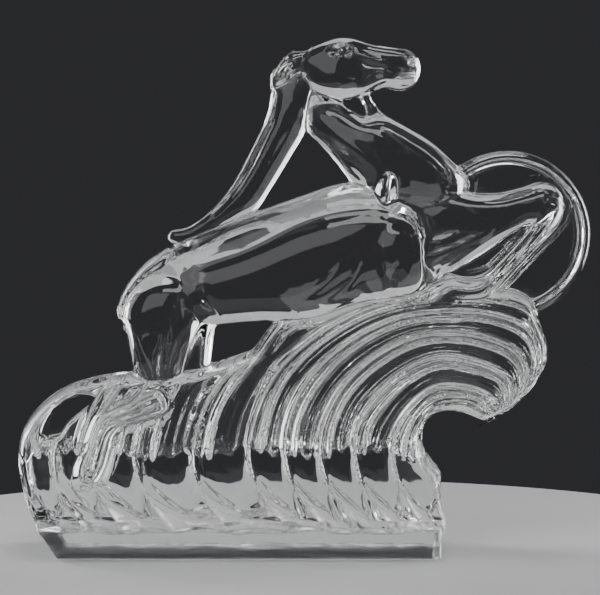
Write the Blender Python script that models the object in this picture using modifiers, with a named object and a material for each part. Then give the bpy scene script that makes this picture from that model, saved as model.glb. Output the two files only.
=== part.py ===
"""Hood ornament: a leaping horse over a curling wave, in pressed glass, on a flat plinth.

The glass is divided at its own sculptural joints into named members. +X is the way the horse leaps, +Z is up
and the near side is -Y. The origin is the middle of the underside. Landmarks are in millimetres, as (x, z).
"""
import math

import bmesh
import bpy
from mathutils import Vector

# Driving dimensions, in metres.
MM = 0.001
FIGURE_LENGTH = 0.254        # foot of the wave's back to the front of the splash disc
FIGURE_HEIGHT = 0.2286       # underside to the brow
JOINT_GAP = 0.0003           # clearance between neighbouring members
PLINTH_HEIGHT = 0.0145
PLINTH_HALF_DEPTH = 0.030
PLINTH_EDGE_ROUND = 0.0015
PLINTH_LEFT_FOOT = -108      # landmarks, in millimetres
PLINTH_LEFT_TOP = -118
PLINTH_RIGHT = 60
WAVE_FOOT_HALF_DEPTH = 0.025
CREST_TIP_HALF_DEPTH = 0.012
SWELL_TOP_HALF_DEPTH = 0.020
DISC_RADIUS = 0.028
DISC_CENTRE = (99, 150.5)    # landmark, in millimetres
DISC_ARC_START = 152.0       # degrees, where the rim leaves the chest
DISC_ARC_END = -78.0         # degrees, where the rim meets the crest
DISC_HALF_THICKNESS = 0.006
DISC_EDGE_ROUND = 0.002
TORSO_HALF_DEPTH = 0.024
HEAD_HALF_DEPTH = 0.012
MANE_HALF_DEPTH = 0.009
FORELEG_HALF_DEPTH = 0.006
THIGH_HALF_DEPTH = 0.011
CANNON_HALF_DEPTH = 0.005
CANNON_INSET = 0.0015        # middle of the lower hind leg, in from the face of the wave's foot
EAR_SPREAD = 0.007           # middle plane to the middle of an ear

# The landmarks below are laid out on this grid, and stretch with the two overall sizes.
GRID_LENGTH = 0.254
GRID_HEIGHT = 0.2286

RING_POINTS = 14
SECTION_POWER = 2.6          # 2 is an ellipse, and more gives flatter faces
STEPS_PER_SPAN = 3
WAVE_STEPS = 16
DOME_ANGLES = (40.0, 75.0)
SHARP_ANGLE = math.radians(35)
BEVEL_ANGLE = math.radians(30)
DISC_ARC_STEPS = 24
FINE_STEPS = 24              # points per span while a flow line is divided evenly

GLASS = (0.86, 0.90, 0.91, 1.0)


def place(x, z):
    """A landmark in metres, as (x, z)."""
    return Vector((x * MM * FIGURE_LENGTH / GRID_LENGTH, z * MM * FIGURE_HEIGHT / GRID_HEIGHT))


def clear_scene():
    for old in list(bpy.data.objects):
        bpy.data.objects.remove(old, do_unlink=True)


def glass_material(name):
    material = bpy.data.materials.new(name + "_glass")
    material.use_nodes = True
    shader = material.node_tree.nodes["Principled BSDF"]
    shader.inputs["Base Color"].default_value = GLASS
    shader.inputs["Roughness"].default_value = 0.05
    shader.inputs["Metallic"].default_value = 0.0
    shader.inputs["Transmission Weight"].default_value = 1.0
    return material


def new_object(name, mesh, collection):
    obj = bpy.data.objects.new(name, mesh)
    collection.objects.link(obj)
    return obj


def spline(points, steps):
    """Points along a smooth curve through the given points, each a tuple of any length."""
    result = []
    last = len(points) - 1
    for i in range(last):
        before = points[i - 1] if i else [2 * a - b for a, b in zip(points[0], points[1])]
        after = points[i + 2] if i + 2 <= last else [2 * b - a for a, b in zip(points[i], points[last])]
        for k in range(steps):
            t = k / steps
            result.append([
                0.5 * (2 * b + (c - a) * t + (2 * a - 5 * b + 4 * c - d) * t ** 2
                       + (3 * b - a - 3 * c + d) * t ** 3)
                for a, b, c, d in zip(before, points[i], points[i + 1], after)
            ])
    result.append(list(points[last]))
    return result


def evenly_spaced(points, steps):
    """Points at equal distances along a smooth curve through the given landmarks."""
    fine = [Vector(p) for p in spline(points, FINE_STEPS)]
    lengths = [0.0]
    for a, b in zip(fine, fine[1:]):
        lengths.append(lengths[-1] + (b - a).length)
    result = []
    k = 0
    for i in range(steps + 1):
        target = lengths[-1] * i / steps
        while k < len(fine) - 2 and lengths[k + 1] < target:
            k += 1
        share = (target - lengths[k]) / (lengths[k + 1] - lengths[k])
        result.append(fine[k].lerp(fine[k + 1], share))
    return result


def ring_offsets(half_width, half_depth):
    """A section with flat faces and rounded edges, as (across, depth) offsets."""
    power = 2.0 / SECTION_POWER
    offsets = []
    for i in range(RING_POINTS):
        angle = math.tau * i / RING_POINTS
        c = math.cos(angle)
        s = math.sin(angle)
        offsets.append((
            math.copysign(abs(c) ** power, c) * half_width,
            math.copysign(abs(s) ** power, s) * half_depth,
        ))
    return offsets


def loft(frames):
    """A closed skin over sections, each (centre x, z, y, across x, z, half width, half depth)."""
    bm = bmesh.new()
    rings = []
    for cx, cz, y, ax, az, half_width, half_depth in frames:
        rings.append([
            bm.verts.new((cx + ax * across, y + depth, cz + az * across))
            for across, depth in ring_offsets(half_width, half_depth)
        ])
    for low, high in zip(rings, rings[1:]):
        for i in range(RING_POINTS):
            j = (i + 1) % RING_POINTS
            bm.faces.new((low[i], low[j], high[j], high[i]))
    bm.faces.new(rings[0])
    bm.faces.new(reversed(rings[-1]))
    bmesh.ops.recalc_face_normals(bm, faces=bm.faces)
    mesh = bpy.data.meshes.new("loft")
    bm.to_mesh(mesh)
    bm.free()
    return mesh


def limb_mesh(stations, grow=0.0):
    """A rounded limb through stations (x, z, half width, half depth, y), all in millimetres.

    The half widths stretch with the height, as the landmarks do.
    """
    line = []
    for x, z, half_width, half_depth, y in spline(stations, STEPS_PER_SPAN):
        spot = place(x, z)
        half_width *= MM * FIGURE_HEIGHT / GRID_HEIGHT
        line.append((spot, half_width + grow, half_depth * MM + grow, y * MM))
    frames = []
    last = len(line) - 1
    for i, (spot, half_width, half_depth, y) in enumerate(line):
        along = (line[min(i + 1, last)][0] - line[max(i - 1, 0)][0]).normalized()
        across = Vector((-along.y, along.x))
        section = (spot, along, across, half_width, half_depth, y)
        if i == 0:
            frames += [dome_frame(section, -1, a) for a in reversed(DOME_ANGLES)]
        frames.append((spot.x, spot.y, y, across.x, across.y, half_width, half_depth))
        if i == last:
            frames += [dome_frame(section, 1, a) for a in DOME_ANGLES]
    return loft(frames)


def dome_frame(section, way, degrees):
    """One shrinking section of a limb's rounded end."""
    spot, along, across, half_width, half_depth, y = section
    reach = min(half_width, half_depth) * math.sin(math.radians(degrees))
    shrink = math.cos(math.radians(degrees))
    centre = spot + along * reach * way
    return (centre.x, centre.y, y, across.x, across.y, half_width * shrink, half_depth * shrink)


# Limbs: stations along each one, as (x, z, half width, half depth, y) in millimetres.

def torso_stations():
    d = TORSO_HALF_DEPTH / MM
    return [
        (-62, 115, 14, d * 0.50, 0),
        (-45, 121, 18, d * 0.75, 0),
        (-22, 126, 22, d * 0.92, 0),
        (0, 131, 27, d, 0),
        (20, 137, 27, d, 0),
        (38, 138, 25, d * 0.95, 0),
        (50, 137, 17, d * 0.80, 0),
    ]


def neck_stations():
    d = TORSO_HALF_DEPTH / MM
    return [
        (9, 205, 9, d * 0.42, 0),
        (19, 190, 14, d * 0.52, 0),
        (36, 175, 18, d * 0.62, 0),
        (48, 164, 20, d * 0.72, 0),
        (57, 152, 18, d * 0.72, 0),
    ]


def head_stations():
    d = HEAD_HALF_DEPTH / MM
    return [
        (1, 217, 6, d * 0.65, 0),
        (9, 215.5, 12, d * 0.90, 0),
        (19, 215, 13.6, d, 0),
        (31, 215.5, 10.5, d * 0.80, 0),
        (42, 215, 9, d * 0.68, 0),
        (48, 214.5, 7.5, d * 0.58, 0),
    ]


def ear_stations(side):
    y = side * EAR_SPREAD / MM
    return [(3, 221, 3, 2.5, y), (-3, 217, 4.5, 2.5, y), (-9, 212, 4, 2.5, y), (-13, 208, 1.5, 1.5, y)]


def mane_stations():
    d = MANE_HALF_DEPTH / MM
    return [
        (-2, 211, 6, d * 0.65, 0),
        (-7, 198, 8.5, d * 0.90, 0),
        (-11, 184, 10, d, 0),
        (-20, 168, 9.5, d, 0),
        (-31, 154, 8, d * 0.90, 0),
        (-44, 145, 5, d * 0.80, 0),
        (-57, 141, 3.5, d * 0.65, 0),
    ]


def tail_stations():
    return [(-59, 132, 4, 6, 0), (-69, 126, 4.5, 7, 0), (-76, 117, 4.5, 7, 0), (-80, 107, 2.5, 6, 0)]


def hind_leg_stations(side):
    thigh = THIGH_HALF_DEPTH / MM
    thigh_y = side * (thigh + JOINT_GAP / MM)
    cannon = CANNON_HALF_DEPTH / MM
    cannon_y = side * (WAVE_FOOT_HALF_DEPTH - CANNON_INSET) / MM
    hock_y = (thigh_y + cannon_y) / 2
    return [
        (-58, 114, 17, thigh, thigh_y),
        (-62, 98, 17, thigh, thigh_y),
        (-65, 84, 12, thigh * 0.85, thigh_y * 1.1),
        (-70, 73, 7, thigh * 0.60, hock_y),
        (-80, 64, 4.5, cannon, cannon_y),
        (-89, 56, 4.5, cannon, cannon_y),
        (-92, 45, 5, cannon * 1.1, cannon_y),
        (-94, 37, 5.5, cannon * 1.1, cannon_y),
    ]


def foreleg_y(side):
    return side * (DISC_HALF_THICKNESS + FORELEG_HALF_DEPTH + JOINT_GAP) / MM


def forearm_stations(side):
    d = FORELEG_HALF_DEPTH / MM
    y = foreleg_y(side)
    return [
        (40, 135, 13, d, y),
        (60, 136, 10.5, d, y),
        (78, 142, 8, d, y),
        (94, 149, 5.5, d, y),
        (106, 155, 5.5, d, y),
    ]


def lower_foreleg_stations(side):
    d = FORELEG_HALF_DEPTH / MM * 0.9
    y = foreleg_y(side)
    return [
        (107, 153, 5, d, y),
        (100, 138, 4.5, d, y),
        (86, 125, 4, d, y),
        (74, 117, 4.5, d, y),
        (64, 115, 4, d, y),
        (56, 111, 4, d, y),
    ]


# The wave: flow lines that rise from the plinth, lean back and curl over to the tip of the crest.

def flow_line(foot_x, *landmarks):
    foot = place(foot_x, 0)
    foot.y = PLINTH_HEIGHT + JOINT_GAP
    points = [tuple(foot)] + [tuple(place(x, z)) for x, z in landmarks]
    return evenly_spaced(points, WAVE_STEPS)


def swell_lines():
    return [
        flow_line(-113, (-126, 34), (-125, 55), (-107, 73), (-77, 80)),
        flow_line(-80, (-97, 36), (-96, 56), (-84, 69), (-62, 79)),
        flow_line(-46, (-62, 36), (-61, 58), (-53, 71), (-40, 84)),
        flow_line(-2, (-21, 34), (-22, 58), (-16, 76), (-6, 93)),
    ]


def crest_lines():
    return [
        flow_line(
            -2, (-21, 34), (-22, 58), (-6, 91), (28, 108),
            (66, 112), (96, 107), (108, 91), (103, 76), (91, 66),
        ),
        flow_line(23, (2, 34), (3, 59), (22, 85), (50, 99), (76, 99), (94, 89), (96, 76), (88, 67)),
        flow_line(43, (26, 34), (27, 57), (42, 77), (62, 86), (79, 82), (87, 73), (84, 66)),
        flow_line(59, (60, 32), (53, 44), (54, 58), (64, 63), (73, 62), (79, 60)),
    ]


def band_mesh(line_a, line_b, end_half_depth, grow=0.0):
    """The body of the wave between two flow lines, thinner towards its end."""
    frames = []
    last = len(line_a) - 1
    for i, (a, b) in enumerate(zip(line_a, line_b)):
        centre = (a + b) / 2
        across = (b - a).normalized()
        half_width = (b - a).length / 2 - JOINT_GAP / 2 + grow
        half_depth = WAVE_FOOT_HALF_DEPTH + (end_half_depth - WAVE_FOOT_HALF_DEPTH) * i / last + grow
        frames.append((centre.x, centre.y, 0.0, across.x, across.y, half_width, half_depth))
    return loft(frames)


# The plinth, and the splash disc: an outline in the XZ plane with an even thickness and rounded edges.

def sheet_mesh(outline):
    """A flat face in the middle plane."""
    bm = bmesh.new()
    bm.faces.new([bm.verts.new((spot.x, 0.0, spot.y)) for spot in outline])
    mesh = bpy.data.meshes.new("sheet")
    bm.to_mesh(mesh)
    bm.free()
    return mesh


def add_thickness(obj, half_thickness):
    shell = obj.modifiers.new("thickness", "SOLIDIFY")
    shell.thickness = 2 * half_thickness
    shell.offset = 0.0


def disc_outline():
    """The round splash, open at its lower left into a web that meets the chest and the crest."""
    centre = place(*DISC_CENTRE)
    outline = []
    for i in range(DISC_ARC_STEPS + 1):
        angle = math.radians(DISC_ARC_START + (DISC_ARC_END - DISC_ARC_START) * i / DISC_ARC_STEPS)
        outline.append(centre + Vector((math.cos(angle), math.sin(angle))) * DISC_RADIUS)
    web = [(101, 118), (100, 105), (66, 106), (54, 122), (58, 150)]
    return outline + [place(x, z) for x, z in web]


def plinth_mesh():
    """A block with a plumb right end, whose left end leans out to carry the back of the wave."""
    bm = bmesh.new()
    bmesh.ops.create_cube(bm, size=1.0)
    for vert in bm.verts:
        if vert.co.x > 0:
            x = place(PLINTH_RIGHT, 0).x
        else:
            x = place(PLINTH_LEFT_TOP if vert.co.z > 0 else PLINTH_LEFT_FOOT, 0).x
        y = math.copysign(PLINTH_HALF_DEPTH, vert.co.y)
        z = PLINTH_HEIGHT if vert.co.z > 0 else 0.0
        vert.co = Vector((x, y, z))
    mesh = bpy.data.meshes.new("plinth")
    bm.to_mesh(mesh)
    bm.free()
    return mesh


def add_bevel(obj, width):
    bevel = obj.modifiers.new("edge", "BEVEL")
    bevel.width = width
    bevel.segments = 2
    bevel.limit_method = "ANGLE"
    bevel.angle_limit = BEVEL_ANGLE


def add_boolean(obj, other, operation):
    boolean = obj.modifiers.new(operation.lower() + "_" + other.name, "BOOLEAN")
    boolean.operation = operation
    boolean.solver = "EXACT"
    boolean.object = other


def new_cutter(name, mesh, cutters):
    obj = new_object(name, mesh, cutters)
    obj.hide_render = True
    obj.display_type = "WIRE"
    return obj


FORELEGS = ("near_foreleg", "near_shin", "off_foreleg", "off_shin")
HIND_LEGS = ("near_hind_leg", "off_hind_leg")

# Each member gives way to the ones named after it.
GIVES_WAY = {
    "neck": ("torso",),
    "head": ("neck",),
    "mane": ("torso", "neck", "head"),
    "near_ear": ("head", "neck", "mane"),
    "off_ear": ("head", "neck", "mane"),
    "tail": ("torso",),
    "near_hind_leg": ("torso", "tail"),
    "off_hind_leg": ("torso", "tail"),
    "near_foreleg": ("torso", "neck"),
    "off_foreleg": ("torso", "neck"),
    "swell_left": HIND_LEGS,
    "swell_middle": HIND_LEGS,
    "swell_right": HIND_LEGS + ("torso", "crest_outer"),
    "crest_outer": FORELEGS + ("torso",),
    "splash_disc": ("torso", "neck", "crest_outer"),
}
SIDES = (("near", -1), ("off", 1))


def limb_recipes():
    recipes = {
        "torso": torso_stations(),
        "neck": neck_stations(),
        "head": head_stations(),
        "mane": mane_stations(),
        "tail": tail_stations(),
    }
    for prefix, side in SIDES:
        recipes[prefix + "_ear"] = ear_stations(side)
        recipes[prefix + "_hind_leg"] = hind_leg_stations(side)
        recipes[prefix + "_foreleg"] = forearm_stations(side)
        recipes[prefix + "_shin"] = lower_foreleg_stations(side)
    return recipes


def wave_recipes():
    recipes = {}
    lines = swell_lines()
    for name, a, b in zip(("swell_left", "swell_middle", "swell_right"), lines, lines[1:]):
        recipes[name] = (a, b, SWELL_TOP_HALF_DEPTH)
    lines = crest_lines()
    for name, a, b in zip(("crest_outer", "crest_middle", "crest_inner"), lines, lines[1:]):
        recipes[name] = (a, b, CREST_TIP_HALF_DEPTH)
    return recipes


def main():
    clear_scene()
    members = bpy.data.collections.new("hood_ornament")
    cutters = bpy.data.collections.new("cutters")
    for collection in (members, cutters):
        bpy.context.scene.collection.children.link(collection)

    yielded_to = {other for others in GIVES_WAY.values() for other in others}
    parts = {}
    spaces = {}
    for name, stations in limb_recipes().items():
        if name.endswith("_shin"):
            parts[name] = new_cutter(name, limb_mesh(stations), cutters)
        else:
            parts[name] = new_object(name, limb_mesh(stations), members)
        if name in yielded_to:
            spaces[name] = new_cutter(name + "_space", limb_mesh(stations, JOINT_GAP), cutters)
    for name, recipe in wave_recipes().items():
        parts[name] = new_object(name, band_mesh(*recipe), members)
        if name in yielded_to:
            spaces[name] = new_cutter(name + "_space", band_mesh(*recipe, JOINT_GAP), cutters)

    parts["plinth"] = new_object("plinth", plinth_mesh(), members)
    add_bevel(parts["plinth"], PLINTH_EDGE_ROUND)
    parts["splash_disc"] = new_object("splash_disc", sheet_mesh(disc_outline()), members)
    add_thickness(parts["splash_disc"], DISC_HALF_THICKNESS)
    add_bevel(parts["splash_disc"], DISC_EDGE_ROUND)

    for prefix, _ in SIDES:
        add_boolean(parts[prefix + "_foreleg"], parts[prefix + "_shin"], "UNION")
    for name, others in GIVES_WAY.items():
        for other in others:
            add_boolean(parts[name], spaces[other], "DIFFERENCE")

    for part in members.objects:
        part.data.shade_smooth()
        part.data.set_sharp_from_angle(angle=SHARP_ANGLE)
        part.data.materials.append(glass_material(part.name))


main()
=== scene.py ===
"""The pressed-glass hood ornament's finished look, laid out as a Blender add-on and run as a script.

The casting is made as its two-part mould makes it. Every member is a relief on the middle plane, with flat
faces and rounded edges, and the reliefs run together into one clear body. The frame gives the sizes.
"""
import math

import bpy
import numpy as np
import openvdb
from bpy.props import FloatProperty, FloatVectorProperty, IntProperty, PointerProperty
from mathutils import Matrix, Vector


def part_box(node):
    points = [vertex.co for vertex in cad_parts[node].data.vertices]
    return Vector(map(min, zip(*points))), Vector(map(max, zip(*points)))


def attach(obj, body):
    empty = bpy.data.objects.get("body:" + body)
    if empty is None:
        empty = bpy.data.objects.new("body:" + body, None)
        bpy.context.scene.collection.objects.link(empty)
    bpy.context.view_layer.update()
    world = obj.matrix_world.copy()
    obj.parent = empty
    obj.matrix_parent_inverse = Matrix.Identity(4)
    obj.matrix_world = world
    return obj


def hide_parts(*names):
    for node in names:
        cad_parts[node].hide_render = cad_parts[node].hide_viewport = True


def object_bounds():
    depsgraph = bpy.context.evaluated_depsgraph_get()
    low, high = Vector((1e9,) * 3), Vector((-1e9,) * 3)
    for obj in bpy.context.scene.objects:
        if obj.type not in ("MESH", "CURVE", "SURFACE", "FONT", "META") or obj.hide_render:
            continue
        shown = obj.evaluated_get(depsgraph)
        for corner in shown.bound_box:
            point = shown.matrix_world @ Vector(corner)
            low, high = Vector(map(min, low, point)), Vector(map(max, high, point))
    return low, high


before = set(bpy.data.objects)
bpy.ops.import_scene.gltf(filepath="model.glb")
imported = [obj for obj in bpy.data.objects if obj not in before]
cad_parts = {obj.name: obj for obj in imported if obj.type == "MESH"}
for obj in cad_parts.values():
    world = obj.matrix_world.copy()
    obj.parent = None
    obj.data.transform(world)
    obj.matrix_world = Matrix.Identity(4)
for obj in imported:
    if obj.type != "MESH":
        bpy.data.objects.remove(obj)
CAD_LOW, CAD_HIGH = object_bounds()

bl_info = {
    "name": "Pressed Glass Hood Ornament",
    "version": (1, 0, 0),
    "blender": (4, 5, 0),
    "location": "3D View > Sidebar > Ornament",
    "description": "Builds a leaping horse over a curling wave in clear pressed glass",
    "category": "Object",
}

MM = 0.001

# The layout grid of the figure, in millimetres, which the frame's box stretches over.
GRID_LENGTH = 254.0
GRID_HEIGHT = 228.6
LENGTH_SCALE = (CAD_HIGH.x - CAD_LOW.x) / MM / GRID_LENGTH
HEIGHT_SCALE = (CAD_HIGH.z - CAD_LOW.z) / MM / GRID_HEIGHT
MIDDLE_X = (CAD_HIGH.x + CAD_LOW.x) / 2 / MM


def half_depth(node):
    """Half of a node's size across the ornament, in millimetres."""
    low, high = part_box(node)
    return (high[1] - low[1]) / 2 / MM


def reach(node):
    """How far a node stands out from the middle plane, in millimetres."""
    low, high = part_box(node)
    return max(abs(low[1]), abs(high[1])) / MM


def place(x, z):
    return (MIDDLE_X + x * LENGTH_SCALE, CAD_LOW.z / MM + z * HEIGHT_SCALE)


# ---------------------------------------------------------------- outlines and reliefs

FINE_STEPS = 16       # points on each span of an open line, before it is spaced out evenly
LINE_POINTS = 40      # points along a ridge or groove
# Millimetres, from here to the class.
OUTSIDE_DEPTH = 5.0   # outside its outline, a plate falls away at least as steeply as one this deep
LEAST_DEPTH = 0.2     # the thinnest a plate gets
LEAST_FACE = 0.3      # the nearest a groove or dish comes to the middle plane
CARRY = 6             # how far outside an outline a body's slope is carried
FIELD_BAND = 3.0      # how far from the skin the field still changes
SIDES = ((1, 0), (-1, 0), (1, 1), (-1, 1))   # a shift and its axis, to each neighbour on the grid


def closed_curve(landmarks, steps=8, straight=()):
    """A smooth closed line through landmarks. The spans named in straight run straight."""
    points = np.array([place(x, z) for x, z in landmarks])
    result = []
    count = len(points)
    for i in range(count):
        a, b, c, d = (points[(i + k) % count] for k in (-1, 0, 1, 2))
        if i in straight:
            result.append(b)
            continue
        # Centripetal spacing keeps the line from overshooting at tight turns.
        ab, bc, cd = (max(np.linalg.norm(q - p), 1e-6) ** 0.5 for p, q in ((a, b), (b, c), (c, d)))
        for t in np.linspace(0, 1, steps, endpoint=False):
            s = t * bc
            p1 = a + (b - a) * (s + ab) / ab
            p2 = b + (c - b) * s / bc
            p3 = c + (d - c) * (s - bc) / cd
            q1 = p1 + (p2 - p1) * (s + ab) / (ab + bc)
            q2 = p2 + (p3 - p2) * s / (bc + cd)
            result.append(q1 + (q2 - q1) * s / bc)
    return np.array(result)


def between(a, b, c, d, share):
    """The point a share of the way from b to c, on a smooth line that also passes a and d."""
    return 0.5 * (2 * b + (c - a) * share + (2 * a - 5 * b + 4 * c - d) * share ** 2
                  + (3 * b - a - 3 * c + d) * share ** 3)


def open_curve(landmarks, steps):
    """Points at equal distances along a smooth line through landmarks."""
    points = np.array([place(x, z) for x, z in landmarks])
    ends = (2 * points[0] - points[1], 2 * points[-1] - points[-2])
    padded = np.vstack([ends[0], points, ends[1]])
    fine = []
    for a, b, c, d in zip(padded, padded[1:], padded[2:], padded[3:]):
        for t in np.linspace(0, 1, FINE_STEPS, endpoint=False):
            fine.append(between(a, b, c, d, t))
    fine = np.array(fine + [points[-1]])
    travel = np.concatenate([[0], np.cumsum(np.linalg.norm(np.diff(fine, axis=0), axis=1))])
    even = np.linspace(0, travel[-1], steps)
    return np.stack([np.interp(even, travel, fine[:, k]) for k in (0, 1)], axis=1)


def smooth_step(low, high, value):
    t = np.clip((value - low) / (high - low), 0, 1)
    return t * t * (3 - 2 * t)


class Relief:
    """One member laid out on the middle plane, in a window of the mould's grid, in millimetres."""

    def __init__(self, mould, outline, margin=5.0):
        pitch = mould.pitch
        low = (outline.min(axis=0) - margin - mould.low) / pitch
        high = (outline.max(axis=0) + margin - mould.low) / pitch
        first = np.maximum(np.floor(low).astype(int), 0)
        last = np.minimum(np.ceil(high).astype(int), mould.shape)
        self.window = (slice(first[0], last[0]), slice(first[1], last[1]))
        self.pitch = pitch
        self.x = mould.x[self.window]
        self.z = mould.z[self.window]
        self.edge = self.distance_in(outline)
        self.square = None

    def beside(self, a, b):
        """How far each grid point lies along the span from a to b, and how far off it, along and up."""
        run = b - a
        ahead = (self.x - a[0]) * run[0] + (self.z - a[1]) * run[1]
        t = np.clip(ahead / max(run @ run, 1e-12), 0, 1)
        return t, self.x - a[0] - t * run[0], self.z - a[1] - t * run[1]

    def distance_in(self, outline):
        """Distance in from an outline, positive inside it."""
        nearest = np.full(self.x.shape, np.inf)
        within = np.zeros(self.x.shape, bool)
        for a, b in zip(outline, np.roll(outline, -1, axis=0)):
            _, off_x, off_z = self.beside(a, b)
            nearest = np.minimum(nearest, off_x ** 2 + off_z ** 2)
            if a[1] != b[1]:
                run = b - a
                crosses = (a[1] > self.z) != (b[1] > self.z)
                within ^= crosses & (self.x < a[0] + (self.z - a[1]) * run[0] / run[1])
        return np.where(within, 1, -1) * np.sqrt(nearest)

    def plate(self, depth, rounding):
        """A plate with flat faces and a quarter-round edge. The depth may vary over it."""
        run = np.maximum(rounding - self.edge, 0) / rounding
        # Outside, a shallow plate falls away as steeply as a deep one.
        depth = np.where(run > 1, np.maximum(depth, OUTSIDE_DEPTH), np.maximum(depth, LEAST_DEPTH))
        self.square = depth ** 2 * (1 - run ** 2)
        return self

    def blow(self, depth, fullness):
        """A body blown up from its outline: round where it is narrow and fullest where it is wide."""
        inside = self.edge > 0
        rise = np.zeros(self.edge.shape)
        rounds = int(1.3 * (self.edge.max() / self.pitch) ** 2) + 60
        for _ in range(rounds):
            rise[1:-1, 1:-1] = 0.25 * (rise[:-2, 1:-1] + rise[2:, 1:-1]
                                       + rise[1:-1, :-2] + rise[1:-1, 2:] + self.pitch ** 2)
            rise *= inside
        # The slope at the outline is carried across it, so that the skin meets the outline smoothly.
        known = self.edge > self.pitch
        slope = np.where(known, rise / np.maximum(self.edge, self.pitch), 0)
        weight = known.astype(float)
        for _ in range(int(CARRY / self.pitch)):
            around = sum(np.roll(slope * weight, shift, axis) for shift, axis in SIDES)
            count = sum(np.roll(weight, shift, axis) for shift, axis in SIDES)
            slope = np.where(known, slope, around / np.maximum(count, 1))
            weight = np.maximum(weight, (count > 0).astype(float))
        steepest = slope[known].max()
        slope = np.where(weight > 0, np.maximum(slope, 0.1 * steepest), steepest)
        share = slope * self.edge
        share = share / share.max()
        full = 1 - (1 - np.clip(share, 0, 1)) ** fullness
        self.square = depth ** 2 * np.where(share > 0, full, fullness * share)
        return self

    def lift(self, height, fade=1.5):
        """Raises or sinks the face, and leaves the outline where it is."""
        face = np.sqrt(np.maximum(self.square, 0))
        moved = np.maximum(face + height * smooth_step(0, fade, self.edge), LEAST_FACE) ** 2
        self.square = np.where(self.square > 0, moved, self.square)
        return self

    def line(self, landmarks, width, height, fade=1.5):
        """A ridge, or with a negative height a groove, along a smooth line, tapered at its ends."""
        points = open_curve(landmarks, LINE_POINTS)
        nearest = np.full(self.x.shape, np.inf)
        along = np.zeros(self.x.shape)
        for i, (a, b) in enumerate(zip(points, points[1:])):
            t, off_x, off_z = self.beside(a, b)
            away = np.hypot(off_x, off_z)
            along = np.where(away < nearest, (i + t) / (len(points) - 1), along)
            nearest = np.minimum(nearest, away)
        taper = np.sin(np.pi * np.clip(along, 0.04, 0.96)) ** 0.5
        return self.lift(height * taper * np.exp(-(nearest / width) ** 2), fade)

    def boss(self, centre, half_length, half_width, tilt, height, softness=2.0):
        """A low oval dome, or with a negative height a dish. A softness under 1 gives it a clear rim."""
        cx, cz = place(*centre)
        turn = math.radians(tilt)
        u = ((self.x - cx) * math.cos(turn) + (self.z - cz) * math.sin(turn)) / half_length
        v = (-(self.x - cx) * math.sin(turn) + (self.z - cz) * math.cos(turn)) / half_width
        return self.lift(height * np.maximum(1 - u ** 2 - v ** 2, 0) ** softness)


def vertex_places(mesh):
    points = np.empty(3 * len(mesh.vertices), np.float32)
    mesh.vertices.foreach_get("co", points)
    return points.reshape(-1, 3)


class Mould:
    """The middle plane as a grid, in millimetres, and the reliefs laid out on it."""

    def __init__(self, pitch):
        self.pitch = pitch
        margin = 3 * pitch
        self.low = np.array([CAD_LOW.x / MM - margin, CAD_LOW.z / MM - margin])
        high = np.array([CAD_HIGH.x / MM + margin, CAD_HIGH.z / MM + margin])
        self.shape = tuple(np.ceil((high - self.low) / pitch).astype(int))
        xs = self.low[0] + pitch * np.arange(self.shape[0])
        zs = self.low[1] + pitch * np.arange(self.shape[1])
        self.x, self.z = np.meshgrid(xs, zs, indexing="ij")
        self.reliefs = []

    def member(self, outline):
        relief = Relief(self, outline)
        self.reliefs.append(relief)
        return relief

    def press(self, soften):
        """The skin of the fused reliefs, mirrored over the middle plane, as points and four-sided faces."""
        pitch = self.pitch
        deepest = max(float(relief.square.max()) for relief in self.reliefs) ** 0.5
        layers = int(math.ceil(deepest / pitch)) + 4
        half = np.empty(self.shape + (layers,), np.float32)
        slopes = []
        for relief in self.reliefs:
            across, up = np.gradient(relief.square, pitch)
            slopes.append(across ** 2 + up ** 2)
        for layer in range(layers):
            y = layer * pitch
            total = np.zeros(self.shape)
            for relief, slope in zip(self.reliefs, slopes):
                away = (y * y - relief.square) / np.sqrt(4 * y * y + slope + 0.01)
                total[relief.window] += np.exp(np.clip(-away / soften, -30, 30))
            half[:, :, layer] = -soften * np.log(total + 1e-12)
        field = np.clip(np.concatenate([half[:, :, :0:-1], half], axis=2), -FIELD_BAND, FIELD_BAND)
        grid = openvdb.FloatGrid(FIELD_BAND)
        grid.copyFromArray(np.ascontiguousarray(field, dtype=np.float32), tolerance=0.0)
        points, quads = grid.convertToQuads(isovalue=0.0)
        y0 = -(layers - 1) * pitch
        self.field = field
        self.corner = np.array([self.low[0], self.low[1], y0])
        placed = np.empty_like(points)
        placed[:, 0] = (self.low[0] + points[:, 0] * pitch) * MM
        placed[:, 1] = (y0 + points[:, 2] * pitch) * MM
        placed[:, 2] = (self.low[1] + points[:, 1] * pitch) * MM
        # Laying the grid's last axis across turns the faces round, so they are turned back.
        return placed, quads[:, ::-1]

    def reading(self, points):
        """The field at points in millimetres along, up and across, read between its grid points."""
        place_in_grid = (points - self.corner) / self.pitch
        cell = np.clip(np.floor(place_in_grid).astype(int), 0, np.array(self.field.shape) - 2)
        share = np.clip(place_in_grid - cell, 0, 1)
        result = np.zeros(len(points))
        for corner in np.ndindex(2, 2, 2):
            weight = np.prod(np.where(corner, share, 1 - share), axis=1)
            i, j, k = (cell + corner).T
            result += weight * self.field[i, j, k]
        return result

    def facing(self, mesh, step):
        """Which way the skin faces at each point of a mesh on it, taken from the field itself."""
        points = vertex_places(mesh)[:, (0, 2, 1)].astype(float) / MM
        ways = np.empty_like(points)
        for axis in range(3):
            offset = np.zeros(3)
            offset[axis] = step
            ways[:, axis] = self.reading(points + offset) - self.reading(points - offset)
        ways /= np.maximum(np.linalg.norm(ways, axis=1, keepdims=True), 1e-9)
        return ways[:, (0, 2, 1)]


# The mould that the operators lay out together, and the fields that the glass's finish reads.
MOULD = {}


# ---------------------------------------------------------------- the horse

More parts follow.
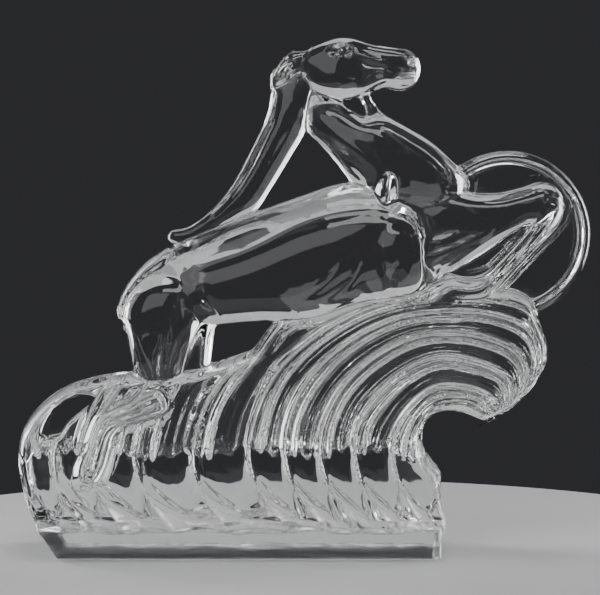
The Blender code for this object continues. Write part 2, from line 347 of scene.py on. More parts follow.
HEAD = [
    (-4, 219), (1, 223.2), (7, 226), (14, 228.4), (21, 228.4), (29, 226), (38, 224.5), (46, 223.5),
    (50, 220.5), (51.8, 215), (50.5, 210), (47, 206.5), (42, 205.5), (36, 206.5), (30, 204.8), (22, 202),
    (13, 201.5), (6, 204), (1.5, 208.5), (-2, 213),
]
EAR = [
    (2, 221), (-3, 223), (-8, 221), (-12.5, 216), (-15, 211), (-14, 206), (-9.5, 206.5), (-4, 211),
    (1, 216),
]
NECK = [
    (0, 205), (1, 196), (1.5, 188), (7, 182), (14, 174), (20.5, 165.5), (30, 158), (45, 150), (62, 150),
    (72.5, 163), (70, 169), (64, 176), (56, 183), (47, 188.5), (38, 193.5), (33, 196), (29, 193.3),
    (23.5, 195.6), (18.5, 198.8), (15, 203), (10, 207), (4, 211),
]
CHIN_BRIDGE = [
    (24.3, 204.5), (28.6, 205), (30.6, 200.5), (34, 196), (33, 191.5), (28.7, 193), (26.6, 198),
]
MANE = [
    (3, 218), (-4, 214.5), (-14, 206), (-16, 196), (-20.5, 186), (-26, 175), (-31.5, 165), (-38, 156),
    (-46.5, 148), (-53, 144.5), (-59.5, 143), (-60.5, 139.5), (-54, 137), (-44, 141), (-33, 146.5),
    (-22, 151.5), (-15, 161.5), (-6, 176), (1, 188), (2.8, 199), (5, 208),
]
TORSO = [
    (-82, 106), (-79, 117), (-71, 128), (-60, 135), (-40, 144), (-22, 151.3), (-2, 158.5), (18, 164.5),
    (36, 163), (52, 158), (62, 148), (64, 136), (58, 121), (46, 112), (32, 112.5), (16, 107), (0, 103.7),
    (-20, 104), (-38, 102.5), (-60, 100),
]
FLANK = [
    (-75, 106), (-69, 117), (-59, 125.5), (-45, 132), (-28, 137.5), (-15, 143.5), (-2, 149.5), (18, 155),
    (34, 155.5), (48, 150), (56, 138), (54, 122), (45, 112), (32, 112), (16, 106.5), (0, 103),
    (-20, 103.2), (-38, 101.8), (-60, 99.5),
]
SHOULDER = [(29, 140), (34, 148), (43, 149), (50, 142), (50, 130), (44, 119), (35, 116.5), (29.5, 127)]
WITHER_KNOT = [(31, 163), (33, 169), (37, 172), (41, 169), (42, 163), (40, 156), (36, 152), (32, 156)]
TAIL = [
    (-60, 135), (-70, 129), (-78, 120), (-83, 109), (-82, 104), (-79, 106), (-75, 115), (-67, 123),
    (-59, 128),
]
THIGH = [
    (-81, 108), (-79, 98), (-77, 87), (-75, 78.5), (-68.5, 71.5), (-62, 66), (-55.5, 71), (-52.5, 80),
    (-50, 90), (-46, 99), (-43, 110), (-49, 122), (-62, 126), (-75, 119),
]
OFF_THIGH = [(-54, 108), (-40, 104), (-40.5, 94), (-42, 84), (-44, 76), (-58, 74), (-56, 90)]
LOWER_HIND_LEG = [
    (-63, 73), (-70, 71), (-76, 67.5), (-84, 64), (-89, 61), (-92, 54), (-94.5, 46), (-97.5, 38),
    (-97, 33.5), (-91.5, 33.5), (-88, 39), (-85.5, 47), (-83, 54.5), (-78, 58.5), (-69, 61.5),
    (-60, 65.5),
]
FOLDED_FORELEG = [
    (48, 156), (58, 160.5), (68, 160.5), (78, 158.5), (88, 159), (98, 161.5), (106, 164), (112, 161.5),
    (114.5, 155.5), (113, 148.5), (109, 143), (97, 131), (86, 119), (78, 112), (70, 111.5), (62, 110.5),
    (55, 108.7), (51.5, 112.5), (57, 118.5), (65, 122), (72, 121), (80.5, 122.5), (89.5, 131), (97, 139),
    (102, 146), (100, 147.6), (94, 144.5), (81, 135.5), (66, 127), (52, 120), (42, 126), (42, 142),
]
ELBOW_TO_KNEE = [
    (44, 140), (51, 143), (65, 146), (82, 150.3), (95, 153.5), (105, 157.5), (108, 154), (102, 149.5),
    (93, 146), (80, 137.5), (64, 128), (52, 123), (43, 128),
]
LOWER_FORELEG = [
    (112.5, 153), (112.2, 148.5), (108.5, 143), (97, 131), (86, 119), (78, 112), (70, 111.5), (62, 110.5),
    (55, 108.7), (51.5, 112.5), (57, 118.5), (65, 122), (72, 121), (80.5, 122.5), (89.5, 131), (98, 140),
    (104.5, 148), (108.5, 153.5),
]
HOOF = [(51.5, 110.5), (56, 117), (63, 119.5), (68, 116), (65, 110), (58, 107.5)]


class ORNAMENT_OT_horse(bpy.types.Operator):
    """Lay out the leaping horse: head, ears, neck, mane, body, tail and legs"""

    bl_idname = "ornament.horse"
    bl_label = "Horse"

    def execute(self, context):
        mould = MOULD["casting"]
        self.body(mould)
        self.neck_and_mane(mould)
        self.head(mould)
        self.legs(mould)
        return {"FINISHED"}

    def body(self, mould):
        torso = half_depth("torso")
        mould.member(closed_curve(TORSO)).blow(torso * 0.80, 1.8)
        flank = mould.member(closed_curve(FLANK)).blow(torso * 0.97, 1.9)
        flank.line([(-46, 121), (-42, 113), (-36, 106)], 2.2, -1.4)
        flank.line([(-4, 112), (8, 119), (16, 127)], 2.0, -0.7)
        flank.line([(10, 113), (20, 120), (26, 129)], 1.8, -0.7)
        mould.member(closed_curve(SHOULDER)).blow(torso * 1.02, 1.5)
        mould.member(closed_curve(TAIL)).blow(torso * 0.62, 1.0)

    def neck_and_mane(self, mould):
        neck = mould.member(closed_curve(NECK)).blow(half_depth("neck") * 0.98, 1.3)
        neck.boss((8, 207), 24, 15, 0, -3.2)
        neck.line([(7, 192), (14, 184.5), (24, 178), (34, 170)], 3.0, 1.4)
        neck.line([(11, 183), (18, 176), (26, 169), (31, 164)], 2.4, -1.2)
        neck.line([(33, 188), (43, 181), (55, 173), (62, 166)], 1.8, -1.2)
        mould.member(closed_curve(WITHER_KNOT)).blow(half_depth("torso") * 0.86, 1.0)
        mould.member(closed_curve(CHIN_BRIDGE)).blow(6.0, 1.2)
        mane = mould.member(closed_curve(MANE)).blow(half_depth("mane"), 1.0)
        mane.line([(-11, 203), (-13, 194), (-18, 183), (-24, 171), (-31, 160), (-40, 150)], 1.2, -1.6)

    def head(self, mould):
        head = mould.member(closed_curve(HEAD)).blow(half_depth("head"), 2.1)
        head.boss((13.5, 211.5), 13.0, 11.0, 0, 1.8)
        head.line([(8, 222), (11.5, 225.2), (17, 226), (21.5, 224)], 1.0, 1.1, 0.8)
        head.boss((15.5, 222.3), 6.2, 2.9, 8, -1.5)
        head.boss((18.5, 222.0), 2.8, 2.2, 0, 2.4, 0.7)
        head.line([(22.5, 221.5), (28, 219), (35, 217)], 1.3, 1.2)
        head.line([(24, 214), (32, 214.5), (40, 213.5)], 2.2, -1.2)
        head.boss((46.8, 217.3), 2.3, 1.3, 35, -2.0)
        head.line([(42.5, 220.5), (46, 220.6), (49.2, 217.6), (47.2, 215.2)], 0.8, 1.1, 0.8)
        for drop, height in ((0.0, -1.5), (2.0, 0.7), (3.7, -0.8)):
            head.line([(39.5, 211.6 - drop), (45, 211.8 - drop), (51, 212.4 - drop)], 0.65, height, 0.6)
        ear = mould.member(closed_curve(EAR)).blow(reach("near_ear"), 1.2)
        ear.boss((-7.8, 213.8), 6.0, 2.6, 42, -3.0)
        ear.line([(-12, 208.5), (-8, 212.5), (-3, 217.5)], 0.6, 0.9, 0.8)

    def legs(self, mould):
        torso = half_depth("torso")
        foreleg = reach("near_foreleg")
        hind_leg = reach("near_hind_leg")
        thigh = mould.member(closed_curve(THIGH)).blow(torso * 1.02, 1.6)
        thigh.line([(-57, 112), (-60, 98), (-62, 84), (-63, 75)], 2.0, -1.3)
        mould.member(closed_curve(OFF_THIGH)).blow(torso * 0.62, 1.4)
        shank = mould.member(closed_curve(LOWER_HIND_LEG)).plate(hind_leg, 2.0)
        shank.line([(-64, 69.5), (-75, 64.5), (-86, 59), (-90, 50), (-93, 39)], 1.0, -1.2, 0.8)
        mould.member(closed_curve(FOLDED_FORELEG)).blow(foreleg * 0.80, 2.0)
        forearm = mould.member(closed_curve(ELBOW_TO_KNEE)).blow(foreleg * 0.95, 1.2)
        forearm.line([(50, 133), (64, 138), (80, 145), (94, 150)], 1.6, -1.2)
        cannon = mould.member(closed_curve(LOWER_FORELEG)).blow(foreleg * 0.97, 1.2)
        cannon.line([(110, 151), (101, 140), (90, 127.5), (80, 117)], 0.9, -1.3, 0.8)
        mould.member(closed_curve(HOOF)).blow(foreleg + 0.8, 1.4)


# ---------------------------------------------------------------- the splash disc and the plinth

DISC_WEB = [(99, 122), (100.5, 117), (100, 105), (60, 104), (54, 122), (58, 150), (74, 163.5), (90, 150)]
# Millimetres.
WEB_ROUNDING = 2.0    # the edge of the disc's thin middle
RIM_HALF_WIDTH = 2.3  # the rounded rim
PLINTH_LEAN = 9.5     # how far the left end leans out, from foot to top
PLINTH_SINK = 0.6     # how far the wavy top edge lies under the top on average


def round_outline(centre_x, centre_z, radius, steps=96):
    turns = np.linspace(0, 2 * np.pi, steps, endpoint=False)
    return np.stack([centre_x + radius * np.cos(turns), centre_z + radius * np.sin(turns)], axis=1)


class ORNAMENT_OT_splash_disc(bpy.types.Operator):
    """Lay out the thin round splash in front of the chest, with its rounded rim"""

    bl_idname = "ornament.splash_disc"
    bl_label = "Splash disc"

    def execute(self, context):
        mould = MOULD["casting"]
        low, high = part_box("splash_disc")
        thickness = half_depth("splash_disc")
        radius = (high[2] - low[2]) / 2 / MM
        outline = round_outline(high[0] / MM - radius, high[2] / MM - radius, radius)
        disc = mould.member(outline).plate(thickness * 0.5, WEB_ROUNDING)
        rim = mould.member(outline)
        rim.edge = RIM_HALF_WIDTH - np.abs(disc.edge - RIM_HALF_WIDTH)
        rim.plate(thickness * 0.97, RIM_HALF_WIDTH)
        mould.member(closed_curve(DISC_WEB)).plate(thickness * 0.5, WEB_ROUNDING)
        return {"FINISHED"}


class ORNAMENT_OT_plinth(bpy.types.Operator):
    """Lay out the flat plinth, with its soft wavy top edge"""

    bl_idname = "ornament.plinth"
    bl_label = "Plinth"

    def execute(self, context):
        mould = MOULD["casting"]
        (left, _, bottom), (right, _, top) = ([size / MM for size in corner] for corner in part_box("plinth"))
        across = np.linspace(right, left, 60)
        share = (across - left) / (right - left)
        swell = top - PLINTH_SINK + 0.5 * np.sin(share * 21.0) + 0.35 * np.sin(share * 47.0 + 1.0)
        feet = [(left + PLINTH_LEAN, bottom), (right, bottom)]
        outline = np.vstack([feet, np.stack([across, swell], axis=1)])
        mould.member(outline).plate(half_depth("plinth") - 0.3, 1.2)
        return {"FINISHED"}


# ---------------------------------------------------------------- the wave

WAVE = [
    (-110, 8), (-119, 16), (-124, 28), (-126.5, 42), (-124.5, 55), (-117, 65.5), (-106, 73.5), (-92, 78),
    (-76, 80), (-58, 80), (-42, 83.5), (-28, 88), (-17, 92.5), (-8, 104), (4, 106), (20, 112), (45, 116),
    (66, 116), (82, 116), (92, 116), (99, 112.5), (104, 103.5), (108, 92), (107.3, 84), (103.5, 76.5),
    (98, 70), (92, 64.5), (86, 61.3), (80, 59.3), (75.5, 61), (70.5, 62.7), (64, 63.3), (57.5, 61.7),
    (53.3, 57), (52.2, 51), (53.3, 45.5), (57, 40.5), (60.3, 36), (60.6, 28), (60.6, 8),
]
# Each line runs from its foot on the plinth, leans back, and turns over towards the crest.
FLOW = [
    [(-112, 8), (-127, 34), (-126, 56), (-110, 84), (-60, 122), (40, 158), (120, 154), (150, 110),
     (140, 80)],
    [(-80, 8), (-97, 34), (-96, 58), (-80, 84), (-36, 118), (40, 144), (110, 140), (136, 105), (126, 78)],
    [(-44, 8), (-62, 34), (-61, 58), (-46, 84), (-6, 112), (50, 129), (102, 124), (122, 99), (114, 76)],
    [(-2, 8), (-21, 34), (-22, 58), (-7, 87), (27, 109), (66, 116), (98, 111), (108, 93), (104, 77)],
    [(24, 8), (5, 34), (3, 58), (18, 83), (44, 99), (72, 101), (93, 94), (99, 82), (95, 68)],
    [(46, 8), (29, 34), (27, 56), (40, 74), (58, 84), (75, 82), (86, 77), (89, 70), (87, 62)],
    [(66, 8), (58, 30), (51, 44), (52.5, 57), (59, 63), (66, 65), (72, 64), (76, 62), (80, 59)],
]
RIB_EDGES = (
    -0.4, 0.0, 0.44, 0.62, 1.0, 1.15, 1.55, 1.74, 1.92, 2.36, 2.52, 2.98, 3.15, 3.56, 3.74, 4.2,
    4.36, 4.84, 5.0, 5.46, 5.62, 6.0, 6.4,
)
PANE_EDGES = (-0.4, 0.0, 0.62, 1.15, 1.74, 2.36, 2.98, 3.56, 4.2, 4.84, 5.46, 6.0, 6.4)
SWELL_PANE = [
    (-119, 51), (-116, 60), (-109, 67.5), (-99, 73), (-91.5, 71.5), (-94, 65.5), (-102, 59), (-108, 51.5),
]
LEANING_RIB = [(-5, 105), (-11, 104), (-20, 94), (-27, 80), (-31, 64), (-26, 62), (-20, 74), (-11, 90)]

GUIDE_STEPS = 900            # points along each guide line
FIRST_LINE = -0.35           # flow lines run on a little past the first and last guides
LAST_LINE = len(FLOW) - 0.65
LINES_PER_GUIDE = 70         # flow lines from one guide to the next
RIB_LEAN = 0.75              # under 1, a rib's crest lies nearer its left side
PANE_LEAN = 0.8
PANE_TOP = (46.0, 48.4)      # heights at which the clear panes give way to the fluted ribs
USUAL_RIB = 0.34             # the width of rib that gets the full depth of flute
CREST_HALF_DEPTH = 15.0
PANE_SINK = 1.6              # how far the panes lie back from the ribs
LEG_SINK = 3.2               # how far the wave lies back around the hock
SWELL_PANE_SINK = 4.5        # how deep the pane in the left swell is
WAVE_ROUNDING = 5.0
FLAME_ROUNDING = 3.0
FLAME_FOOT = 15.0            # the height from which the flames thin out
PEARL = (83.5, 67.5, 3.1)    # place and radius of the round drop at the crest's tip


def shares(flow, edges):
    """How far each point lies between the two edges around it, and how far apart they are."""
    edges = np.array(edges)
    band = np.clip(np.searchsorted(edges, flow.ravel()).reshape(flow.shape) - 1, 0, len(edges) - 2)
    width = edges[band + 1] - edges[band]
    return np.clip((flow - edges[band]) / width, 0, 1), width


def crossing(guides, share):
    """A flow line between the guides, on one smooth sheet through them all."""
    count = len(guides)
    i = min(int(share), count - 2)
    t = share - i
    a, b, c, d = (guides[min(max(i + k, 0), count - 1)] for k in (-1, 0, 1, 2))
    if i == 0:
        a = 2 * b - c
    if i == count - 2:
        d = 2 * c - b
    return between(a, b, c, d, t)


def spread(mould, values, weight, rounds):
    """Averages values over neighbouring grid points, so that gaps fill and noise goes."""
    for _ in range(rounds):
        total = np.zeros(mould.shape)
        count = np.zeros(mould.shape)
        for shift in ((0, 0), (1, 0), (-1, 0), (0, 1), (0, -1)):
            total += np.roll(values * weight, shift, (0, 1))
            count += np.roll(weight, shift, (0, 1))
        values = total / np.maximum(count, 1e-9)
        weight = (count > 0).astype(float)
    return values, weight


def flow_over(mould):
    """At every grid point: which flow line passes it and how far along that line it lies."""
    guides = [open_curve(guide, GUIDE_STEPS) for guide in FLOW]
    number = np.zeros(mould.shape).ravel()
    travel = number.copy()
    count = number.copy()
    along = np.linspace(0, 1, GUIDE_STEPS)
    for share in np.arange(FIRST_LINE, LAST_LINE, 1 / LINES_PER_GUIDE):
        if share < 0:
            line = guides[0] + (guides[0] - guides[1]) * -share
        elif share > len(FLOW) - 1:
            line = guides[-1] + (guides[-1] - guides[-2]) * (share - len(FLOW) + 1)
        else:
            line = crossing(guides, share)
        cell = np.round((line - mould.low) / mould.pitch).astype(int)
        kept = np.all((cell >= 0) & (cell < mould.shape), axis=1)
        at = cell[kept, 0] * mould.shape[1] + cell[kept, 1]
        np.add.at(number, at, share)
        np.add.at(travel, at, along[kept])
        np.add.at(count, at, 1)
    weight = (count > 0).astype(float).reshape(mould.shape)
    number = (number / np.maximum(count, 1)).reshape(mould.shape)
    travel = (travel / np.maximum(count, 1)).reshape(mould.shape)
    rounds = int(2.4 / mould.pitch)
    return spread(mould, number, weight, rounds)[0], spread(mould, travel, weight, rounds)[0]


class ORNAMENT_OT_wave(bpy.types.Operator):
    """Lay out the wave: ribs that rise from flame-like feet, lean back and curl over at the crest"""

    bl_idname = "ornament.wave"
    bl_label = "Wave"

    def execute(self, context):
        settings = context.scene.pressed_ornament
        mould = MOULD["casting"]
        outline = closed_curve(WAVE, straight=(len(WAVE) - 1,))
        wave = mould.member(outline)
        whole_flow, whole_along = flow_over(mould)
        flow = whole_flow[wave.window]
        along = whole_along[wave.window]
        height = wave.z - CAD_LOW.z / MM
        across, width = shares(flow, RIB_EDGES)
        across_pane, _ = shares(flow, PANE_EDGES)
        leaning = np.abs(2 * across ** RIB_LEAN - 1)
        pane_leaning = np.abs(2 * across_pane ** PANE_LEAN - 1)
        drip = 1.3 * np.cos(4 * np.pi * across) + 1.6 * np.sin(3.3 * flow + 1.0) + 1.1 * np.sin(7.9 * flow)
        upper = smooth_step(*PANE_TOP, height + drip)
        round_top = 1 - leaning ** (2.6 + 2.6 * smooth_step(0.22, 0.5, along))
        flat_top = 1 - pane_leaning ** 12.0
        top = round_top * upper + flat_top * (1 - upper)
        foot = reach("crest_inner") * 0.92
        crest = smooth_step(0.30, 0.95, along) * smooth_step(2.4, 3.2, flow)
        body = foot - (foot - CREST_HALF_DEPTH) * crest
        leg = Relief(mould, closed_curve(LOWER_HIND_LEG))
        clear_of_leg = np.ones(mould.shape)
        clear_of_leg[leg.window] = smooth_step(0.5, 4.0, -leg.edge)
        calm = smooth_step(1.0, 6.0, wave.edge) * clear_of_leg[wave.window]
        deep = settings.flute_depth / MM * np.clip(width / USUAL_RIB, 0.5, 1.15) * (1 - 0.15 * crest) * calm
        face = body - deep * (1 - top)
        face -= PANE_SINK * (1 - upper)
        face -= LEG_SINK * (1 - clear_of_leg[wave.window])
        pane = Relief(mould, closed_curve(SWELL_PANE))
        sunk = np.zeros(mould.shape)
        sunk[pane.window] = smooth_step(-0.3, 0.7, pane.edge)
        sunk = sunk[wave.window]
        face = face * (1 - sunk) + (body - SWELL_PANE_SINK) * sunk
        wave.plate(face, WAVE_ROUNDING)
        MOULD["flow"] = whole_flow
        froth = np.zeros(mould.shape)
        froth[wave.window] = upper * (1 - sunk) * calm * (1 - 0.75 * smooth_step(56, 80, height))
        MOULD["froth"] = froth

        # The flames lie over the wave's foot and thin out as they rise.
        lift = 1 - pane_leaning ** 1.3
        tongue = half_depth("plinth") - 1.0 - 0.50 * np.maximum(height - FLAME_FOOT, 0) - 7.0 * lift
        tongue -= 2.4 * np.exp(-((height - 16.8) / 1.1) ** 2) * (0.5 + 0.5 * np.sin(flow * 2.6))
        mould.member(outline).plate(np.maximum(tongue, 2.0), FLAME_ROUNDING)

        mould.member(closed_curve(LEANING_RIB)).blow(foot, 1.3)
        mould.member(round_outline(*place(*PEARL[:2]), PEARL[2])).blow(17.0, 1.0)
        return {"FINISHED"}


# ---------------------------------------------------------------- the casting and its glass


def set_socket(shader, **values):
    for name, value in values.items():
        shader.inputs[name.replace("_", " ")].default_value = value


def noise(nodes, link, places, **values):
    node = nodes.new("ShaderNodeTexNoise")
    set_socket(node, **values)
    link(places, node.inputs["Vector"])
    return node.outputs["Fac"]


def spanned(nodes, link, value, start, end, low, high):
    """Turns the span from start to end into the span from low to high."""
    node = nodes.new("ShaderNodeMapRange")
    set_socket(node, From_Min=start, From_Max=end, To_Min=low, To_Max=high)
    link(value, node.inputs["Value"])
    return node.outputs["Result"]


def sums(nodes, link, operation, *values):
    """A Math node. Each value is a number or another node's output."""
    node = nodes.new("ShaderNodeMath")
    node.operation = operation
    for socket, value in zip(node.inputs, values):
        if isinstance(value, bpy.types.NodeSocket):
            link(value, socket)
        else:
            socket.default_value = value
    return node.outputs["Value"]


def bump(nodes, link, height, strength, distance):
    node = nodes.new("ShaderNodeBump")
    set_socket(node, Strength=strength, Distance=distance)
    link(height, node.inputs["Height"])
    return node


def own_attribute(nodes, name):
    node = nodes.new("ShaderNodeAttribute")
    node.attribute_name = name
    return node.outputs["Fac"]


def pressed_glass(settings):
    """Clear glass, fire-polished, with the faint draw of the mould and a ground, hazy plinth."""
    material = bpy.data.materials.new("clear_pressed_glass")
    material.use_nodes = True
    nodes = material.node_tree.nodes
    link = material.node_tree.links.new
    shader = nodes["Principled BSDF"]
    set_socket(shader, Base_Color=(*settings.tint, 1.0), Metallic=0.0, IOR=settings.ior,
               Transmission_Weight=1.0)
    coordinates = nodes.new("ShaderNodeTexCoord").outputs["Object"]
    split = nodes.new("ShaderNodeSeparateXYZ")
    link(coordinates, split.inputs["Vector"])

    plinth_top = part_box("plinth")[1][2]
    haze = spanned(nodes, link, split.outputs["Z"], plinth_top + 0.0005, plinth_top - 0.0015,
                   settings.polish, settings.haze)
    smear = noise(nodes, link, coordinates, Scale=60.0, Detail=3.0, Roughness=0.6)
    # The grinding of the plinth runs along it.
    stretch = nodes.new("ShaderNodeMapping")
    set_socket(stretch, Scale=(18.0, 60.0, 260.0))
    link(coordinates, stretch.inputs["Vector"])
    streak = noise(nodes, link, stretch.outputs["Vector"], Scale=1.0, Detail=4.0, Roughness=0.65)
    uneven = spanned(nodes, link, streak, 0.35, 0.65, 0.35, 1.4)
    link(sums(nodes, link, "MULTIPLY", haze, uneven), shader.inputs["Roughness"])

    draw = noise(nodes, link, coordinates, Scale=90.0, Detail=2.0, Roughness=0.45)
    ripple = bump(nodes, link, draw, 0.12, 0.0006)

    # Fine ridges follow the ribs of the wave above its clear panes.
    flow = own_attribute(nodes, "flow")
    froth = own_attribute(nodes, "froth")
    turns = sums(nodes, link, "MULTIPLY", flow, 2 * math.pi * settings.fine_ridges)
    wander = sums(nodes, link, "MULTIPLY_ADD", smear, 1.6, turns)
    ridges = sums(nodes, link, "SINE", wander)
    masked = sums(nodes, link, "MULTIPLY", ridges, froth)
    flute = bump(nodes, link, masked, 1.0, settings.fine_depth)
    link(ripple.outputs["Normal"], flute.inputs["Normal"])
    link(flute.outputs["Normal"], shader.inputs["Normal"])
    return material


def sample(mould, field, mesh):
    """A field of the mould's grid, read at each point of a mesh."""
    place_in_grid = (vertex_places(mesh)[:, (0, 2)] / MM - mould.low) / mould.pitch
    cell = np.clip(np.floor(place_in_grid).astype(int), 0, np.array(mould.shape) - 2)
    u, v = np.clip(place_in_grid - cell, 0, 1).T
    i, j = cell.T
    low = field[i, j] * (1 - u) + field[i + 1, j] * u
    high = field[i, j + 1] * (1 - u) + field[i + 1, j + 1] * u
    return (low * (1 - v) + high * v).astype(np.float32)


class ORNAMENT_OT_casting(bpy.types.Operator):
    """Press the laid-out reliefs into one clear glass casting"""

    bl_idname = "ornament.casting"
    bl_label = "Glass casting"

    def execute(self, context):
        settings = context.scene.pressed_ornament
        points, quads = MOULD["casting"].press(settings.soften / MM)
        mesh = bpy.data.meshes.new("glass_casting")
        mesh.vertices.add(len(points))
        mesh.vertices.foreach_set("co", points.ravel())
        mesh.loops.add(quads.size)
        mesh.loops.foreach_set("vertex_index", quads.ravel())
        mesh.polygons.add(len(quads))
        mesh.polygons.foreach_set("loop_start", np.arange(0, quads.size, 4))
        mesh.update(calc_edges=True)
        mesh.validate()
        casting = bpy.data.objects.new("glass_casting", mesh)
        context.scene.collection.objects.link(casting)
        bpy.ops.object.select_all(action="DESELECT")
        context.view_layer.objects.active = casting
        casting.select_set(True)
        # The skin is polished, as the fire does it, before it is thinned.
        polish = casting.modifiers.new("polish", "SMOOTH")
        polish.factor = 0.5
        polish.iterations = 6
        bpy.ops.object.modifier_apply(modifier=polish.name)
        share = settings.most_triangles / (2 * len(quads))
        if share < 1:
            thin = casting.modifiers.new("thin", "DECIMATE")
            thin.ratio = share
            bpy.ops.object.modifier_apply(modifier=thin.name)
        bpy.ops.object.shade_smooth()
        casting.data.normals_split_custom_set_from_vertices(
            MOULD["casting"].facing(casting.data, settings.pitch / MM).tolist())
        for name in ("flow", "froth"):
            values = sample(MOULD["casting"], MOULD[name], casting.data)
            casting.data.attributes.new(name, "FLOAT", "POINT").data.foreach_set("value", values)
        casting.data.materials.append(pressed_glass(settings))
        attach(casting, "root")
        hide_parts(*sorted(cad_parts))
        return {"FINISHED"}


# ---------------------------------------------------------------- the stage


FLOOR_THICKNESS = 0.01
FLOOR_CLEARANCE = 0.0002
# Name, place, width, height, the power's setting, share of it, and beam in degrees. Those with a
# narrow beam are level, and carry grids that keep their light off the floor.
LAMPS = (
    ("left_panel", (-0.64, 0.42, 0.34), 0.60, 0.80, "panel_power", 1.0, 100),
    ("right_panel", (0.68, 0.34, 0.34), 0.50, 0.80, "panel_power", 0.7, 100),
    ("left_strip", (-0.60, 0.34, 0.32), 0.08, 0.75, "strip_power", 1.0, 80),
    ("right_strip", (0.62, 0.30, 0.32), 0.06, 0.75, "strip_power", 0.8, 80),
    ("back_panel", (0.0, 0.85, 0.85), 1.80, 0.60, "back_power", 1.0, 180),
    ("overhead", (0.0, 0.05, 0.95), 0.45, 0.25, "overhead_power", 1.0, 180),
    ("front_top", (0.1, -0.55, 1.0), 0.60, 0.30, "top_power", 1.0, 180),
    ("front_fill", (-0.6, -1.3, 0.9), 1.50, 1.10, "fill_power", 1.0, 180),
)


def studio_floor_finish(settings):
    material = bpy.data.materials.new("pale_floor")
    material.use_nodes = True
    nodes = material.node_tree.nodes
    link = material.node_tree.links.new
    shader = nodes["Principled BSDF"]
    set_socket(shader, Roughness=0.55)
    coordinates = nodes.new("ShaderNodeTexCoord").outputs["Object"]
    grain = noise(nodes, link, coordinates, Scale=30.0, Detail=4.0)
    tone = nodes.new("ShaderNodeMix")
    tone.data_type = "RGBA"
    tone.inputs["A"].default_value = (*settings.floor_colour, 1.0)
    tone.inputs["B"].default_value = (*(c * 0.94 for c in settings.floor_colour), 1.0)
    link(grain, tone.inputs["Factor"])
    link(tone.outputs["Result"], shader.inputs["Base Color"])
    return material


def softbox(name, at, aim, width, height, power, beam):
    light = bpy.data.lights.new(name, "AREA")
    light.spread = math.radians(beam)
    light.shape = "RECTANGLE"
    light.size = width
    light.size_y = height
    light.energy = power
    lamp = bpy.data.objects.new(name, light)
    lamp.location = at
    lamp.rotation_euler = (Vector(aim) - Vector(at)).to_track_quat("-Z", "Y").to_euler()
    bpy.context.scene.collection.objects.link(lamp)


class ORNAMENT_OT_stage(bpy.types.Operator):
    """Set the floor, the soft lights and the camera"""

    bl_idname = "ornament.stage"
    bl_label = "Stage"

    def execute(self, context):
        settings = context.scene.ornament_stage
        bpy.ops.object.select_all(action="DESELECT")
        radius = settings.floor_radius
        bpy.ops.mesh.primitive_cylinder_add(vertices=128, radius=radius, depth=FLOOR_THICKNESS)
        floor = context.active_object
        floor.name = "floor"
        for vert in floor.data.vertices:
            vert.co.z += CAD_LOW.z - (FLOOR_THICKNESS / 2 + FLOOR_CLEARANCE)
        floor.data.materials.append(studio_floor_finish(settings))

        centre = (CAD_LOW + CAD_HIGH) / 2
        for name, at, width, height, power, share, beam in LAMPS:
            aim = Vector((centre.x, centre.y, at[2])) if beam < 180 else centre
            softbox(name, at, aim, width, height, getattr(settings, power) * share, beam)

        world = bpy.data.worlds.new("studio")
        context.scene.world = world
        world.use_nodes = True
        set_socket(world.node_tree.nodes["Background"], Color=(*settings.backdrop, 1.0))

        data = bpy.data.cameras.new("camera")
        data.lens = settings.lens
        camera = bpy.data.objects.new("camera", data)
        rise = settings.camera_rise
        aim = Vector((settings.aim_x, 0.0, settings.aim_z))
        back = Vector((0, -math.cos(rise), math.sin(rise))) * settings.camera_distance
        camera.location = aim + back
        camera.rotation_euler = (-back).to_track_quat("-Z", "Y").to_euler()
        context.scene.collection.objects.link(camera)
        context.scene.camera = camera
        return {"FINISHED"}


# ---------------------------------------------------------------- settings, panel and registration


class OrnamentSettings(bpy.types.PropertyGroup):
    pitch: FloatProperty(
        name="Mould pitch", description="Grid spacing the casting is pressed at",
        default=0.0006, min=0.0003, unit="LENGTH", precision=5)
    soften: FloatProperty(
        name="Fillet", description="How far neighbouring members run into each other",
        default=0.0007, min=0.0001, unit="LENGTH", precision=5)
    most_triangles: IntProperty(
        name="Most triangles", description="Triangles the casting is thinned to", default=198000)
    flute_depth: FloatProperty(
        name="Flute depth", description="How deep the wave's flutes are cut",
        default=0.0055, min=0.0, unit="LENGTH", precision=5)
    fine_depth: FloatProperty(
        name="Fine ridge depth", description="How deep the fine ridges on the upper ribs are cut",
        default=0.00018, min=0.0, unit="LENGTH", precision=5)
    fine_ridges: FloatProperty(
        name="Fine ridges", description="Fine ridges between neighbouring guide lines of the wave",
        default=9.0)
    tint: FloatVectorProperty(
        name="Tint", description="Colour of the glass", subtype="COLOR", default=(0.985, 0.992, 0.992))
    ior: FloatProperty(name="Refraction", description="Index of refraction of the glass", default=1.51)
    polish: FloatProperty(name="Polish", description="Roughness of the fire-polished faces", default=0.035)
    haze: FloatProperty(name="Haze", description="Roughness of the ground plinth", default=0.15)


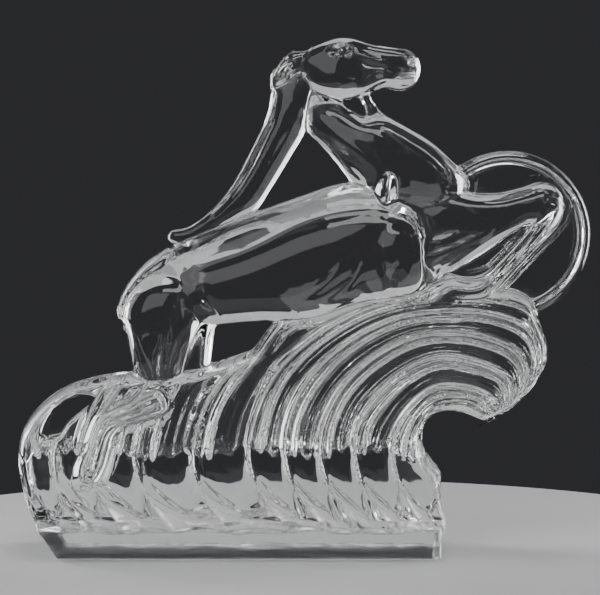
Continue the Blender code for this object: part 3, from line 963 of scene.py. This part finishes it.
class StageSettings(bpy.types.PropertyGroup):
    floor_colour: FloatVectorProperty(
        name="Floor", description="Colour of the floor", subtype="COLOR", default=(0.62, 0.62, 0.63))
    backdrop: FloatVectorProperty(
        name="Backdrop", description="Colour behind everything", subtype="COLOR",
        default=(0.028, 0.028, 0.031))
    floor_radius: FloatProperty(
        name="Floor radius", description="Radius of the round floor", default=0.24, unit="LENGTH")
    strip_power: FloatProperty(
        name="Strips", description="Power of each side strip", default=1.2, unit="POWER")
    panel_power: FloatProperty(
        name="Side panels", description="Power of the broad side panels", default=1.6, unit="POWER")
    back_power: FloatProperty(
        name="Back panel", description="Power of the panel above and behind", default=1.9, unit="POWER")
    top_power: FloatProperty(
        name="Front top", description="Power of the softbox above and in front", default=3.0, unit="POWER")
    overhead_power: FloatProperty(
        name="Overhead", description="Power of the overhead softbox", default=2.2, unit="POWER")
    fill_power: FloatProperty(
        name="Fill", description="Power of the front fill", default=8.5, unit="POWER")
    lens: FloatProperty(name="Lens", description="Focal length in millimetres", default=121.0)
    camera_distance: FloatProperty(
        name="Distance", description="Camera to the ornament", default=0.9, unit="LENGTH")
    camera_rise: FloatProperty(
        name="Rise", description="Height of the camera above the horizon",
        default=math.radians(2.5), unit="ROTATION")
    aim_x: FloatProperty(
        name="Aim along", description="Point looked at, along the length", default=-0.0019, unit="LENGTH")
    aim_z: FloatProperty(
        name="Aim height", description="Point looked at, above the floor", default=0.1135, unit="LENGTH")


class ORNAMENT_PT_panel(bpy.types.Panel):
    """The ornament's pieces, in the order they are made"""

    bl_idname = "ORNAMENT_PT_panel"
    bl_label = "Hood Ornament"
    bl_space_type = "VIEW_3D"
    bl_region_type = "UI"
    bl_category = "Ornament"

    def draw(self, context):
        layout = self.layout
        for group in (context.scene.pressed_ornament, context.scene.ornament_stage):
            for name in group.__annotations__:
                layout.prop(group, name)
        for step in STEPS:
            layout.operator(step.bl_idname)


STEPS = (
    ORNAMENT_OT_plinth, ORNAMENT_OT_wave, ORNAMENT_OT_splash_disc, ORNAMENT_OT_horse, ORNAMENT_OT_casting,
    ORNAMENT_OT_stage,
)
CLASSES = (OrnamentSettings, StageSettings, *STEPS, ORNAMENT_PT_panel)


def register():
    for each in CLASSES:
        bpy.utils.register_class(each)
    bpy.types.Scene.pressed_ornament = PointerProperty(type=OrnamentSettings)
    bpy.types.Scene.ornament_stage = PointerProperty(type=StageSettings)


def unregister():
    del bpy.types.Scene.ornament_stage
    del bpy.types.Scene.pressed_ornament
    for each in reversed(CLASSES):
        bpy.utils.unregister_class(each)


def main():
    register()
    MOULD["casting"] = Mould(bpy.context.scene.pressed_ornament.pitch / MM)
    bpy.ops.ornament.plinth()
    bpy.ops.ornament.wave()
    bpy.ops.ornament.splash_disc()
    bpy.ops.ornament.horse()
    bpy.ops.ornament.casting()
    bpy.ops.ornament.stage()


if __name__ == "__main__":
    main()
